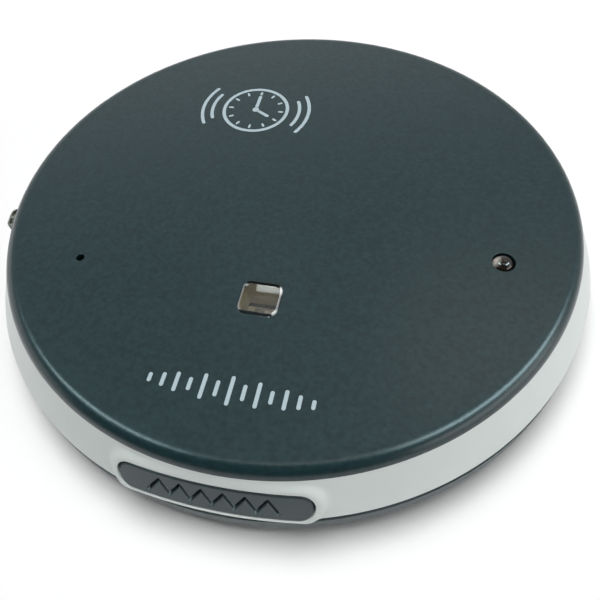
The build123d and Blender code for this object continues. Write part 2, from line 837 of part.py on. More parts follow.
def make_motor_pads():
    """Rubber pads under and over the motor's flats."""
    x = motor_x + motor_length / 2
    low = motor_z - motor_flat_height / 2
    high = motor_z + motor_flat_height / 2
    return [
        centred(x, motor_y, motor_pad_length, motor_pad_width, floor_z, low),
        centred(x, motor_y, motor_pad_length, motor_pad_width, high, ceiling_z),
    ]


# Battery cells and contacts

def make_cell(y, side):
    """AA cell along X with its raised terminal towards the given side."""
    body_length = cell_length - cell_nub_length
    body = rod_x(-body_length / 2, body_length / 2, y, cell_z, cell_radius)
    nub = rod_x(body_length / 2, body_length / 2 + cell_nub_length, y, cell_z, cell_nub_radius)
    cell = Pos(-cell_nub_length / 2, 0, 0) * (body + nub)
    return cell if side > 0 else mirror(cell, Plane.YZ)


def make_leaf(y):
    """Contact leaf at the right end: a plate on the bay's wall and a bowed spring that meets the cell."""
    wall_x = bay_half
    plate_x = wall_x - contact_thickness
    touch = cell_length / 2 + contact_gap
    plate = block(plate_x, wall_x, y - contact_width / 2, y + contact_width / 2,
                  cell_z - contact_height / 2, cell_z + contact_height / 2)
    half = leaf_height / 2
    front = ThreePointArc((plate_x, cell_z - half), (touch, cell_z), (plate_x, cell_z + half))
    inset = half - 2 * contact_thickness
    crest = (touch + contact_thickness, cell_z)
    back = ThreePointArc((plate_x, cell_z + inset), crest, (plate_x, cell_z - inset))
    upper = Line((plate_x, cell_z + half), (plate_x, cell_z + inset))
    lower = Line((plate_x, cell_z - inset), (plate_x, cell_z - half))
    bow = make_face(Plane.XZ * (Curve() + [front, upper, back, lower]))
    leaf = extrude(bow, leaf_width / 2, both=True)
    return plate + Pos(0, y, 0) * leaf


def make_link():
    """Double contact that joins the two cells at the right end."""
    bridge = block(bay_half - contact_thickness, bay_half, cell_y[0], cell_y[1],
                   cell_z - link_height / 2, cell_z + link_height / 2)
    return make_leaf(cell_y[0]) + make_leaf(cell_y[1]) + bridge


def make_contact(y):
    """Single contact at the left end with a solder tail through the bay's wall."""
    tail = block(battery_lead_x, -bay_half + contact_thickness, y - tail_width / 2,
                 y + tail_width / 2, tail_z - contact_thickness / 2, tail_z + contact_thickness / 2)
    return mirror(make_leaf(y), Plane.YZ) + tail


# Wires

def bend_radii(points):
    """Bend radius at each corner of a route: a share of its shorter run over the tangent of half the turn."""
    radii = []
    for before, corner, after in zip(points, points[1:], points[2:]):
        run_in = Vector(*corner) - Vector(*before)
        run_out = Vector(*after) - Vector(*corner)
        half_turn = radians(run_in.get_angle(run_out)) / 2
        radii.append(bend_share * min(run_in.length, run_out.length) / tan(half_turn))
    return radii


def make_wire(points):
    """Insulated wire along a route of straight runs and tangent bends."""
    path = FilletPolyline(*points, radius=bend_radii(points))
    return sweep(Plane(origin=path @ 0, z_dir=path % 0) * Circle(wire_radius), path)


def make_motor_lead(i):
    """Lead from one motor terminal round to the board."""
    x = motor_drops[i]
    y = terminal_y[i]
    return make_wire([
        (motor_lead_x, y, terminal_z), (x, y, terminal_z), (x, lead_drop_y, terminal_z),
        (x, lead_drop_y, board_top),
    ])


def make_battery_lead(i):
    """Lead from one contact's tail round to the board."""
    x = battery_drops[i]
    y = cell_y[i]
    return make_wire([
        (battery_lead_x, y, tail_z), (x, y, tail_z), (x, lead_drop_y, tail_z), (x, lead_drop_y, board_top),
    ])


os.makedirs("parts", exist_ok=True)

save(make_cover(), "top_cover")
save(make_band(), "side_band")
save(make_base(), "base_shell")
save(make_door(), "battery_door")
save(screw(0, door_screw_y, door_screw_seat, door_screw_tip, screw_radius, screw_head_radius,
           door_screw_sink - screw_gap), "door_screw")
save_group([screw(x, y, screw_seat, screw_tip, screw_radius, screw_head_radius, screw_head_height)
            for x, y in boss_points], "case_screws")
save_group([disc(x, y, 0, base_bottom + foot_recess, foot_radius) for x, y in foot_points], "rubber_feet")

save(make_snooze(), "snooze_button")
save(rod_y(snooze_stem_end, snooze_switch_front + snooze_plunger_entry, 0, snooze_z, snooze_plunger_radius),
     "snooze_plunger")
save(make_snooze_switch(), "snooze_switch")
save(make_thumb(), "alarm_thumb")
save(make_slider(), "alarm_slider")
save(make_slide_switch(), "alarm_switch")

save(make_lens(), "flash_lens")
save(make_reflector(), "flash_reflector")
save(make_lamp(), "flash_lamp")
save(make_sensor(), "light_sensor")
save(make_sensor_spacer(), "sensor_spacer")
save_group([disc(x, sensor_y, board_bottom - sensor_lead_tail, sensor_bottom, sensor_lead_radius)
            for x in sensor_leads_x], "sensor_leads")
save(make_buzzer(), "buzzer")
save(make_gasket(), "buzzer_gasket")

save(make_board(), "main_board")
save_group([screw(x, y, board_top, board_screw_tip, board_screw_radius, board_screw_head_radius,
                  board_screw_head_height) for x, y in post_points], "board_screws")
save(centred(chip_x, chip_y, chip_size, chip_size, board_top, board_top + chip_height), "controller_chip")
save(rod_x(chip_x - crystal_length / 2, chip_x + crystal_length / 2, crystal_y, board_top + crystal_radius,
           crystal_radius), "watch_crystal")
save(disc(capacitor_x, capacitor_y, board_top, capacitor_top, capacitor_radius), "capacitor")

save(centred(0, display_y, view_length + 2 * display_window_margin, view_width + 2 * display_window_margin,
             display_window_z, display_window_z + display_window_thickness), "display_window")
save(centred(0, display_y, glass_length, glass_width, floor_z, glass_top), "display_glass")
save(make_display_frame(), "display_frame")
save_group([centred(0, y, zebra_length, zebra_width, glass_top, board_bottom) for y in zebra_y],
           "contact_strips")
for name, (x, y) in zip(key_names, key_points):
    save(make_key(x, y), name)
    save(make_tact_plunger(x, y), f"{name}_plunger")
save_group([make_tact(x, y) for x, y in key_points], "key_switches")

save(make_can(), "motor_can")
save(make_end_cap(), "motor_end_cap")
save(rod_x(shaft_start, shaft_end, motor_y, motor_z, shaft_radius), "motor_shaft")
save(make_weight(), "eccentric_weight")
save_group(make_motor_pads(), "motor_pads")

save(make_cell(cell_y[0], -1), "front_cell")
save(make_cell(cell_y[1], 1), "rear_cell")
save(make_link(), "contact_link")
save(make_contact(cell_y[0]), "positive_contact")
save(make_contact(cell_y[1]), "negative_contact")

save_group([make_motor_lead(i) for i in range(2)], "motor_leads")
save_group([make_battery_lead(i) for i in range(2)], "battery_leads")
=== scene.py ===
"""Looks of a round bed shaker alarm clock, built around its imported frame, in metres."""

import bmesh
import bpy
import numpy as np
from mathutils import Matrix, Vector
from mathutils.geometry import delaunay_2d_cdt


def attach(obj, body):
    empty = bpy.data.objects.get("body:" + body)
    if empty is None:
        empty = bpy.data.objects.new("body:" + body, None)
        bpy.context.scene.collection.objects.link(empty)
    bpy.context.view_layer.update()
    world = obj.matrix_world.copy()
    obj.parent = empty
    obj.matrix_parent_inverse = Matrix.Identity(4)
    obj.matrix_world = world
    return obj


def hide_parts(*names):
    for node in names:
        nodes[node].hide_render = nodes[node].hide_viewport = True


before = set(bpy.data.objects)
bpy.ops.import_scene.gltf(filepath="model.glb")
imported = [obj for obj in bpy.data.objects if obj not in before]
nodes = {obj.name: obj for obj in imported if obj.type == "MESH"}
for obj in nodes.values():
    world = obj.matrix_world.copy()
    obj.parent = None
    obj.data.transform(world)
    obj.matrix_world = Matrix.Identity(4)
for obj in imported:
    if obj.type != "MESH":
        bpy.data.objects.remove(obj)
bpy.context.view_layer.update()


# Base shell and battery door: a tray moulded in dark ABS, screwed to the cover from below.
# The outside is spark-eroded to a fine satin grain, so it shows soft light with no clear reflections.
# Real grains are a few hundredths of a millimetre; here and below they are coarser, so that they show.

def linear(hex_code):
    """sRGB hex colour as linear RGBA: ((c + 0.055) / 1.055) to the power 2.4, or c / 12.92 near black."""
    srgb = np.array([int(hex_code[i:i + 2], 16) for i in (1, 3, 5)]) / 255
    rgb = np.where(srgb > 0.04045, ((srgb + 0.055) / 1.055) ** 2.4, srgb / 12.92)
    return (*rgb.tolist(), 1.0)


def add(tree, kind, inputs=None, **settings):
    """Adds one shader node; an input is a value, or the output socket that feeds it."""
    made = tree.nodes.new(kind)
    for key, value in settings.items():
        setattr(made, key, value)
    for key, value in (inputs or {}).items():
        if isinstance(value, bpy.types.NodeSocket):
            tree.links.new(value, made.inputs[key])
        else:
            made.inputs[key].default_value = value
    return made


def finish(name, **sockets):
    """A new material with constants on its shader's own sockets; returns it, its tree and its shader."""
    made = bpy.data.materials.new(name)
    made.use_nodes = True
    shader = made.node_tree.nodes["Principled BSDF"]
    for key, value in sockets.items():
        shader.inputs[key.replace("_", " ")].default_value = value
    return made, made.node_tree, shader


def mottle(tree, shader, colours, drift_mm, grain_mm=0.0, depth_mm=0.0):
    """Colour that drifts between two tones over drift_mm, and a grain of the given spacing and depth."""
    place = add(tree, "ShaderNodeTexCoord").outputs["Object"]
    drift = add(tree, "ShaderNodeTexNoise", {"Vector": place, "Scale": 1000 / drift_mm, "Detail": 4.0})
    tones = add(tree, "ShaderNodeMix", {"Factor": drift.outputs["Fac"]}, data_type="RGBA")
    colour_inputs = [socket for socket in tones.inputs if socket.type == "RGBA"]
    for socket, colour in zip(colour_inputs, colours):
        socket.default_value = linear(colour)
    mixed = next(socket for socket in tones.outputs if socket.type == "RGBA")
    tree.links.new(mixed, shader.inputs["Base Color"])
    if depth_mm:
        grain = add(tree, "ShaderNodeTexNoise", {"Vector": place, "Scale": 1000 / grain_mm, "Detail": 2.0})
        bump = add(tree, "ShaderNodeBump", {"Height": grain.outputs["Fac"], "Distance": depth_mm / 1000})
        tree.links.new(bump.outputs["Normal"], shader.inputs["Normal"])


def dress(material, *names):
    """Gives CAD nodes their finish."""
    for name in names:
        nodes[name].data.materials.clear()
        nodes[name].data.materials.append(material)


base_abs, tree, shader = finish("dark_abs_spark_eroded", Roughness=0.5)
mottle(tree, shader, ("#3b484a", "#424f51"), drift_mm=6.0, grain_mm=0.35, depth_mm=0.02)
dress(base_abs, "base_shell", "battery_door")


# Feet, screws and the small inner pieces: stock parts, each in its own common finish.
# They hardly show, so a plain grain and a drift of tone are enough to keep them from looking flat.

foot_rubber, tree, shader = finish("black_moulded_rubber", Roughness=0.75)
mottle(tree, shader, ("#1a1b1c", "#232425"), drift_mm=2.0, grain_mm=0.25, depth_mm=0.03)
dress(foot_rubber, "rubber_feet", "motor_pads", "buzzer_gasket", "contact_strips")

screw_zinc, tree, shader = finish("zinc_plated_steel", Roughness=0.35, Metallic=1.0)
mottle(tree, shader, ("#a9abad", "#bfc1c2"), drift_mm=0.8, grain_mm=0.12, depth_mm=0.01)
dress(screw_zinc, "case_screws", "board_screws", "door_screw", "motor_shaft", "motor_can")

contact_nickel, tree, shader = finish("nickel_plated_spring_steel", Roughness=0.2, Metallic=1.0)
mottle(tree, shader, ("#c2bfb8", "#d2d0ca"), drift_mm=1.0, grain_mm=0.15, depth_mm=0.005)
dress(contact_nickel, "contact_link", "positive_contact", "negative_contact", "sensor_leads",
      "watch_crystal")

weight_brass, tree, shader = finish("turned_brass", Roughness=0.3, Metallic=1.0)
mottle(tree, shader, ("#a9813f", "#bb9450"), drift_mm=1.5, grain_mm=0.1, depth_mm=0.01)
dress(weight_brass, "eccentric_weight")

board_green, tree, shader = finish("glass_epoxy_solder_mask", Roughness=0.35)
mottle(tree, shader, ("#1c5233", "#236240"), drift_mm=3.0, grain_mm=0.4, depth_mm=0.01)
dress(board_green, "main_board")

cell_foil, tree, shader = finish("printed_foil_sleeve", Roughness=0.3, Metallic=0.4)
mottle(tree, shader, ("#2a2d33", "#34383f"), drift_mm=8.0, grain_mm=0.5, depth_mm=0.004)
dress(cell_foil, "front_cell", "rear_cell")

black_nylon, tree, shader = finish("black_glass_filled_nylon", Roughness=0.4)
mottle(tree, shader, ("#141516", "#1c1d1e"), drift_mm=1.5, grain_mm=0.2, depth_mm=0.01)
dress(black_nylon, "snooze_switch", "alarm_switch", "key_switches", "buzzer", "controller_chip",
      "capacitor", "snooze_plunger", "alarm_slider", "sensor_spacer", "time_key_plunger",
      "alarm_key_plunger", "hour_key_plunger", "minute_key_plunger")

white_abs, tree, shader = finish("white_abs", Roughness=0.45)
mottle(tree, shader, ("#d6d5cf", "#dfded8"), drift_mm=4.0, grain_mm=0.3, depth_mm=0.01)
dress(white_abs, "display_frame", "motor_end_cap")

wire_red, tree, shader = finish("red_pvc_insulation", Roughness=0.4)
mottle(tree, shader, ("#8d1a16", "#9d2620"), drift_mm=2.0, grain_mm=0.3, depth_mm=0.005)
dress(wire_red, "motor_leads", "battery_leads")


# Display and setting keys on the underside: a clear acrylic window over liquid crystal glass.
# The polished window mirrors the room over a flat grey-green field, and the glass below it looks dull.
# The four keys are moulded in dark grey ABS, with a low sheen that picks out their edges.

window_acrylic, tree, shader = finish("clear_acrylic", Roughness=0.03, IOR=1.49, Transmission_Weight=1.0)
mottle(tree, shader, ("#f2f5f4", "#fafcfb"), drift_mm=10.0)
dress(window_acrylic, "display_window")

crystal_glass, tree, shader = finish("liquid_crystal_glass", Roughness=0.12)
mottle(tree, shader, ("#8f9a88", "#97a290"), drift_mm=12.0, grain_mm=0.2, depth_mm=0.002)
dress(crystal_glass, "display_glass")

key_abs, tree, shader = finish("dark_grey_abs_semi_gloss", Roughness=0.38)
mottle(tree, shader, ("#4a5558", "#515c5f"), drift_mm=3.0, grain_mm=0.3, depth_mm=0.01)
dress(key_abs, "time_key", "alarm_key", "hour_key", "minute_key")


# Liquid crystal digits: dark segments on the lower face of the display glass, read from below.
# They are an etched film, shown at noon, with two dots between the hours and the minutes.

def quads(rows, columns, closed):
    """Quads of a grid of points in row order; closed also joins the last column to the first."""
    index = np.arange(rows * columns).reshape(rows, columns)
    if closed:
        index = np.concatenate([index, index[:, :1]], axis=1)
    corners = [index[:-1, :-1], index[:-1, 1:], index[1:, 1:], index[1:, :-1]]
    return np.stack(corners, axis=-1).reshape(-1, 4)


def sheet_of(grid, closed=False):
    """A grid of points, rows by columns, as points and quads."""
    return grid.reshape(-1, 3), quads(grid.shape[0], grid.shape[1], closed)


def piece(name, body, material, surfaces, replaced=(), sharp=35.0):
    """One mesh from surfaces whose shared edges are merged; it rides on a body and may replace nodes."""
    points, faces, start = [], [], 0
    for co, index in surfaces:
        points.append(np.asarray(co, float).reshape(-1, 3))
        faces += [tuple(int(i) + start for i in face) for face in index]
        start += len(points[-1])
    mesh = bpy.data.meshes.new(name)
    mesh.from_pydata(np.concatenate(points).tolist(), [], faces)
    work = bmesh.new()
    work.from_mesh(mesh)
    bmesh.ops.remove_doubles(work, verts=work.verts, dist=1e-6)
    bmesh.ops.dissolve_degenerate(work, edges=work.edges, dist=1e-7)
    bmesh.ops.recalc_face_normals(work, faces=work.faces)
    work.to_mesh(mesh)
    work.free()
    mesh.shade_smooth()
    mesh.set_sharp_from_angle(angle=np.radians(sharp))
    mesh.materials.append(material)
    made = bpy.data.objects.new(name, mesh)
    bpy.context.scene.collection.objects.link(made)
    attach(made, body)
    if replaced:
        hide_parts(*replaced)
    return made


def lifted(outline, z):
    """A plan outline at a height."""
    return np.concatenate([outline, np.full((len(outline), 1), z)], axis=-1)


def plate(outlines, z):
    """Flat face at a height inside the first outline and outside the others, in Delaunay triangles."""
    points = np.concatenate(outlines)
    edges, start = [], 0
    for outline in outlines:
        index = start + np.arange(len(outline))
        edges += np.stack([index, np.roll(index, -1)], axis=-1).tolist()
        start += len(outline)
    flat, _, faces, *_ = delaunay_2d_cdt([Vector(p) for p in points], edges, [], 1, 1e-9)
    flat, faces = np.array(flat), np.array(faces)
    middle = flat[faces].mean(axis=1)
    for outline in outlines[1:]:
        side = np.roll(outline, -1, axis=0) - outline
        way = middle[:, None] - outline
        outside = (side[:, 0] * way[..., 1] - side[:, 1] * way[..., 0] < 0).any(axis=1)
        faces, middle = faces[outside], middle[outside]
    return np.concatenate([flat, np.full((len(flat), 1), z)], axis=-1), faces


def film(outlines, low, high):
    """Closed film between two heights inside the first outline and outside the others."""
    surfaces = [plate(outlines, low), plate(outlines, high)]
    return surfaces + [sheet_of(np.stack([lifted(o, low), lifted(o, high)]), closed=True) for o in outlines]


digit_film = (0.00318, 0.0032)
digit_centre = np.array([0.0, -0.0260])
digit_half = np.array([0.0028, 0.0055])
digit_stroke = 0.0005
digit_slant = np.tan(np.radians(6.0))
segment_gap = 0.00015
dot_along = -0.0005
dot_rise = 0.0024
dot_half = 0.0006
segment_ends = {
    "top": ((-1, 1), (1, 1)), "middle": ((-1, 0), (1, 0)), "bottom": ((-1, -1), (1, -1)),
    "high_left": ((-1, 0), (-1, 1)), "high_right": ((1, 0), (1, 1)),
    "low_left": ((-1, -1), (-1, 0)), "low_right": ((1, -1), (1, 0)),
}
ring_of_six = [name for name in segment_ends if name != "middle"]
lit_segments = [
    (-0.0135, ["high_right", "low_right"]),
    (-0.0055, [name for name in segment_ends if name not in ("high_left", "low_right")]),
    (0.0045, ring_of_six),
    (0.0125, ring_of_six),
]


def segment(start, stop):
    """Six-sided bar between two points: a pointed end, two shoulders, a pointed end, two shoulders."""
    way = (stop - start) / np.linalg.norm(stop - start)
    side = digit_stroke * np.array([-way[1], way[0]])
    start, stop = start + segment_gap * way, stop - segment_gap * way
    shoulder = digit_stroke * way
    return np.array([start, start + shoulder - side, stop - shoulder - side, stop, stop - shoulder + side,
                     start + shoulder + side])


def read_from_below(outline):
    """Leans an outline, moves it to the display and turns it over, so that it reads from below."""
    leaned = outline[:, 0] + digit_slant * outline[:, 1]
    return digit_centre + np.stack([-leaned, outline[:, 1]], axis=-1)


square = np.array([[-1, -1], [1, -1], [1, 1], [-1, 1]])
digits = []
for along, names in lit_segments:
    for name in names:
        ends = [np.array([along, 0]) + digit_half * np.array(end) for end in segment_ends[name]]
        digits.append(segment(*ends))
for rise in (-dot_rise, dot_rise):
    digits.append(np.array([dot_along, rise]) + dot_half * square)
digit_surfaces = [sheet for outline in digits for sheet in film([read_from_below(outline)], *digit_film)]
crystal_ink, tree, shader = finish("switched_liquid_crystal", Roughness=0.15)
mottle(tree, shader, ("#1c211c", "#242a24"), drift_mm=5.0)
piece("display_digits", "case", crystal_ink, digit_surfaces)


# Side band: a flared ring moulded in pale ABS and painted pearl silver, clamped between cover and base.
# Round the snooze button it has a flatter pad, whose ends stand proud of the ring.
# The clear coat over the pearl lays a broad soft highlight on the flare.

cover_radius = 0.067
band_flare = 0.0044
band_top = 0.0201
band_bottom = 0.0110
base_top = 0.0105
band_wall = 0.0020
band_lip = 0.0012
band_edge = 0.00015
flange_inner = 0.0635
flange_bottom = 0.0185
slot_half = 0.0193
slot_radius = 0.0031
slot_z = 0.0145
slot_edge = 0.0001
pad_radius = 0.112
pad_lip = 0.0006
pad_fade_up = 0.0011
pad_fade_along = 0.0018
thumb_angle = np.radians(191.5)
thumb_z = 0.0171
neck_slot_half = 0.0026
neck_slot_radius = 0.00095


def band_radius(z):
    """Radius of the straight flare: the cover's radius plus the flare's share at that height."""
    return cover_radius + band_flare * (band_top - z) / (band_top - band_bottom)


def smooth(t):
    """Eased step: 3t^2 - 2t^3 for t held between 0 and 1."""
    t = np.clip(t, 0, 1)
    return t * t * (3 - 2 * t)


def stadium_way(x, z, half, radius):
    """Run from the end of a stadium's middle line to a point, and the distance from that line."""
    along = np.sign(x) * np.maximum(np.abs(x) - (half - radius), 0)
    return along, np.hypot(along, z)


def pad_proud(x, z):
    """How far the pad stands off the flare: the flatter arc less the ring's arc, faded out past its lip."""
    ring = band_radius(z)
    run = np.clip(x, -slot_half - 2 * pad_fade_along, slot_half + 2 * pad_fade_along)
    gap = ring - pad_radius + np.sqrt(pad_radius ** 2 - run ** 2) - np.sqrt(ring ** 2 - run ** 2)
    along, away = stadium_way(x, z - slot_z, slot_half, slot_radius)
    fade = pad_fade_up + (pad_fade_along - pad_fade_up) * np.abs(along) / np.maximum(away, 1e-9)
    return gap * (1 - smooth((away - slot_radius - pad_lip) / fade))


def on_band(x, z, angle, inset):
    """Points of the flare at run x and height z about a facing angle, set in from the painted face."""
    radius = band_radius(z) - inset
    out = np.sqrt(radius ** 2 - x ** 2)
    at_pad = np.abs(np.sin(angle) + 1) < 1e-6
    if at_pad and inset == 0:
        out = out + pad_proud(x, z)
    turn = angle + np.pi / 2
    plan_x = x * np.cos(turn) + out * np.sin(turn)
    plan_y = x * np.sin(turn) - out * np.cos(turn)
    return np.stack([plan_x, plan_y, z + 0 * x], axis=-1)


steps = 720
first_turn = 0.3
rows = 25
lip_steps = 7
edge_steps = 6
face_steps = 15
face_crowding = 1.4
back_steps = 4
turns = np.radians(first_turn + np.arange(steps) * 360 / steps)
share = np.linspace(0, 1, rows)
outer_z = band_bottom + band_edge + (band_top - band_bottom - 2 * band_edge) * share
inner_z = band_bottom + (flange_bottom - band_bottom) * share
openings = [
    {"angle": -np.pi / 2, "span": np.radians(24.0), "half": slot_half, "radius": slot_radius, "z": slot_z},
    {"angle": thumb_angle, "span": np.radians(6.0), "half": neck_slot_half, "radius": neck_slot_radius,
     "z": thumb_z},
]


def column_points(z, inset):
    """Flare points for every turn and height, with the pad raised at the front."""
    radius = band_radius(z)[:, None] - inset
    x, y = radius * np.cos(turns), radius * np.sin(turns)
    if inset == 0:
        front = y < 0
        lift = np.where(front, pad_proud(x, z[:, None] + 0 * x), 0)
        y = y - lift
    return np.stack([x, y, z[:, None] + 0 * x], axis=-1)


def from_front(turn, angle):
    """Turn measured from a facing angle, between minus and plus half a revolution."""
    return (turn - angle + np.pi) % (2 * np.pi) - np.pi


covered = np.zeros(steps, bool)
band_surfaces = []
for opening in openings:
    offset = from_front(turns, opening["angle"])
    inside = np.where(np.abs(offset) <= opening["span"])[0]
    inside = inside[np.argsort(offset[inside])]
    covered[inside[:-1]] = True
    across = offset[inside]

    # the outline of the patch of band that holds the opening, on the outer and on the inner face
    loops = []
    for z, inset in ((outer_z, 0.0), (inner_z, band_wall)):
        low = np.stack([across, np.full(len(across), z[0])], axis=-1)
        right = np.stack([np.full(rows - 2, across[-1]), z[1:-1]], axis=-1)
        high = np.stack([across[::-1], np.full(len(across), z[-1])], axis=-1)
        left = np.stack([np.full(rows - 2, across[0]), z[-2:0:-1]], axis=-1)
        edge = np.concatenate([low, right, high, left])
        edge[:, 0] = (band_radius(edge[:, 1]) - inset) * np.sin(edge[:, 0])
        loops.append(edge)

    # the outer face, from the opening's lip to the outline
    up = loops[0][:, 1] - opening["z"]
    along, away = stadium_way(loops[0][:, 0], up, opening["half"], opening["radius"])
    middle = np.stack([loops[0][:, 0] - along, np.full(len(along), opening["z"])], axis=-1)
    normal = np.stack([along, up], axis=-1) / away[:, None]
    rim = middle + normal * (opening["radius"] + slot_edge)
    reach = (np.linspace(0, 1, face_steps) ** face_crowding)[:, None, None]
    face = rim + (loops[0] - rim) * reach
    face_points = on_band(face[..., 0], face[..., 1], opening["angle"], 0.0)
    band_surfaces.append(sheet_of(face_points, closed=True))

    # the rounded lip and the opening's wall
    bend = np.radians(np.linspace(0, 90, lip_steps))[:, None]
    grow = opening["radius"] + slot_edge * (1 - np.sin(bend))
    sink = slot_edge * (1 - np.cos(bend))
    lip = middle + normal * grow[..., None]
    facing = np.array([np.cos(opening["angle"]), np.sin(opening["angle"]), 0])
    lip_points = on_band(lip[..., 0], lip[..., 1], opening["angle"], 0.0) - sink[..., None] * facing
    back = middle + normal * opening["radius"]
    back_points = on_band(back[:, 0], back[:, 1], opening["angle"], band_wall)
    band_surfaces.append(sheet_of(np.concatenate([lip_points, back_points[None]]), closed=True))

    # the inner face, from the wall's end to the outline
    reach = np.linspace(0, 1, back_steps)[:, None, None]
    face = back + (loops[1] - back) * reach
    face_points = on_band(face[..., 0], face[..., 1], opening["angle"], band_wall)
    band_surfaces.append(sheet_of(face_points, closed=True))

for z, inset in ((outer_z, 0.0), (inner_z, band_wall)):
    grid = column_points(z, inset)
    kept = quads(rows, steps, True).reshape(rows - 1, steps, 4)[:, ~covered].reshape(-1, 4)
    band_surfaces.append((grid.reshape(-1, 3), kept))

outer_low = column_points(outer_z[:1], 0.0)[0]
outer_high = column_points(outer_z[-1:], 0.0)[0]
ray = np.stack([np.cos(turns), np.sin(turns), 0 * turns], axis=-1)
up_axis = np.array([0.0, 0.0, 1.0])
bend = np.radians(np.linspace(0, 90, edge_steps))[:, None, None]
low_edge = outer_low + band_edge * (np.cos(bend) - 1) * ray - band_edge * np.sin(bend) * up_axis
high_edge = outer_high + band_edge * (np.cos(bend) - 1) * ray + band_edge * np.sin(bend) * up_axis


def rings(pairs):
    """Plain rings at pairs of radius and height."""
    return np.stack([radius * ray + z * up_axis for radius, z in pairs])


seat = band_radius(band_bottom) - band_lip
inner_low = band_radius(band_bottom) - band_wall
under = rings([(seat, band_bottom), (seat, base_top), (inner_low, base_top), (inner_low, band_bottom)])
band_surfaces.append(sheet_of(np.concatenate([low_edge, under]), closed=True))
over = rings([(flange_inner, band_top), (flange_inner, flange_bottom),
              (band_radius(flange_bottom) - band_wall, flange_bottom)])
band_surfaces.append(sheet_of(np.concatenate([high_edge, over]), closed=True))

band_paint, tree, shader = finish("pearl_silver_paint", Roughness=0.36, Coat_Weight=0.15,
                                  Coat_Roughness=0.25)
mottle(tree, shader, ("#cad2d0", "#d0d8d5"), drift_mm=9.0, grain_mm=0.18, depth_mm=0.004)
piece("band_ring", "case", band_paint, band_surfaces, ["side_band"])


# Snooze button: a long bar moulded in dark grey ABS, semi-gloss, that slides in the band's slot.
# Its face leans out below to meet the lip, and a zigzag groove is sunk into it as a grip.
# The semi-gloss draws a thin highlight along the rounded edge and leaves the groove dark.

button_gap = 0.0005
button_drop = 0.00025
button_recess = 0.00015
button_lean = np.tan(np.radians(3.0))
button_edge = 0.0003
button_depth = 0.0040
stroke_count = 12
stroke_run = 0.0021
stroke_rise = 0.0026
stroke_width = 0.00056
stroke_depth = 0.0011
stroke_wall = 0.0001
button_radius = slot_radius - button_gap
button_half = slot_half - button_gap


def stroke_distance(x, z, x0, z0, x1, z1):
    """Distance from points to a straight stroke between two ends."""
    run, rise = x1 - x0, z1 - z0
    t = np.clip(((x - x0) * run + (z - z0) * rise) / (run * run + rise * rise), 0, 1)
    return np.hypot(x - x0 - t * run, z - z0 - t * rise)


around = 1600
inward = 60
straight = 2 * (button_half - button_radius)
turn_length = np.pi * button_radius
loop = np.arange(around) / around * (2 * straight + 2 * turn_length)
on_top = loop < straight
on_right = (loop >= straight) & (loop < straight + turn_length)
on_low = (loop >= straight + turn_length) & (loop < 2 * straight + turn_length)
right_turn = np.pi / 2 - (loop - straight) / button_radius
left_turn = -np.pi / 2 - (loop - 2 * straight - turn_length) / button_radius
low_x = straight * 1.5 + turn_length - loop
sides = [on_top, on_right, on_low]
middle_x = np.select(sides, [loop - straight / 2, straight / 2, low_x], -straight / 2)
heading = np.select(sides, [np.pi / 2, right_turn, -np.pi / 2], left_turn)
reach = np.linspace(1, 0, inward)[:, None]
face_x = middle_x + button_radius * reach * np.cos(heading)
face_z = button_radius * reach * np.sin(heading)
to_edge = np.clip(button_radius * (1 - reach), 0, button_edge)
roll_in = button_edge - np.sqrt(button_edge ** 2 - (button_edge - to_edge) ** 2)
nearest = np.full(face_x.shape, np.inf)
for i in range(stroke_count):
    start = (i - stroke_count / 2) * stroke_run
    foot = stroke_rise / 2 * (-1) ** i
    nearest = np.minimum(nearest, stroke_distance(face_x, face_z, start, -foot, start + stroke_run, foot))
sunk = stroke_depth * (1 - smooth((nearest - stroke_width / 2) / stroke_wall))


def pad_front(x, z, inset):
    """Y of the pad's cone: its arc of pad_radius less an inset, level with the flare in the middle."""
    middle = band_radius(slot_z)
    return pad_radius - middle - np.sqrt((pad_radius + band_radius(z) - middle - inset) ** 2 - x ** 2)


inset = button_recess + button_lean * face_z
button_z = slot_z - button_drop
front_y = pad_front(face_x, button_z + face_z, inset) + roll_in + sunk
face = np.stack([face_x, front_y, button_z + face_z], axis=-1)
back = face[0] + np.array([0, button_depth, 0])
wall = np.stack([back, face[0]])
back_middle = np.stack([middle_x, back[:, 1], np.full(around, button_z)], axis=-1)
shell = np.concatenate([back_middle[None], wall])
button_surfaces = [sheet_of(face, closed=True), sheet_of(shell, closed=True)]
button_abs, tree, shader = finish("dark_grey_abs_moulded", Roughness=0.34)
mottle(tree, shader, ("#344144", "#3b484b"), drift_mm=4.0, grain_mm=0.25, depth_mm=0.008)
piece("snooze_bar", "snooze", button_abs, button_surfaces, ["snooze_button"], sharp=50.0)


# Alarm switch thumb: a small round-ended tab moulded in grey ABS, which stands out of the band on the left.
# Two pockets in its top give the finger a hold; a neck carries it through the band to the slide switch.
# It is paler than the cover, so it stands out against the rim.

thumb_abs, tree, shader = finish("grey_abs_moulded", Roughness=0.35)
mottle(tree, shader, ("#686c65", "#72766e"), drift_mm=1.0, grain_mm=0.2, depth_mm=0.006)
dress(thumb_abs, "alarm_thumb")


# Top cover: a disc moulded in ABS and sprayed with a slate soft-touch lacquer, with a rolled rim.
# It has openings for the flash window and the light sensor and a pinhole over the sounder.
# The satin lacquer blurs the studio into a soft haze, and the rim draws it out into long highlights.
# Its flake is drawn at about half a millimetre, coarser than the real one, to show as a faint sparkle.

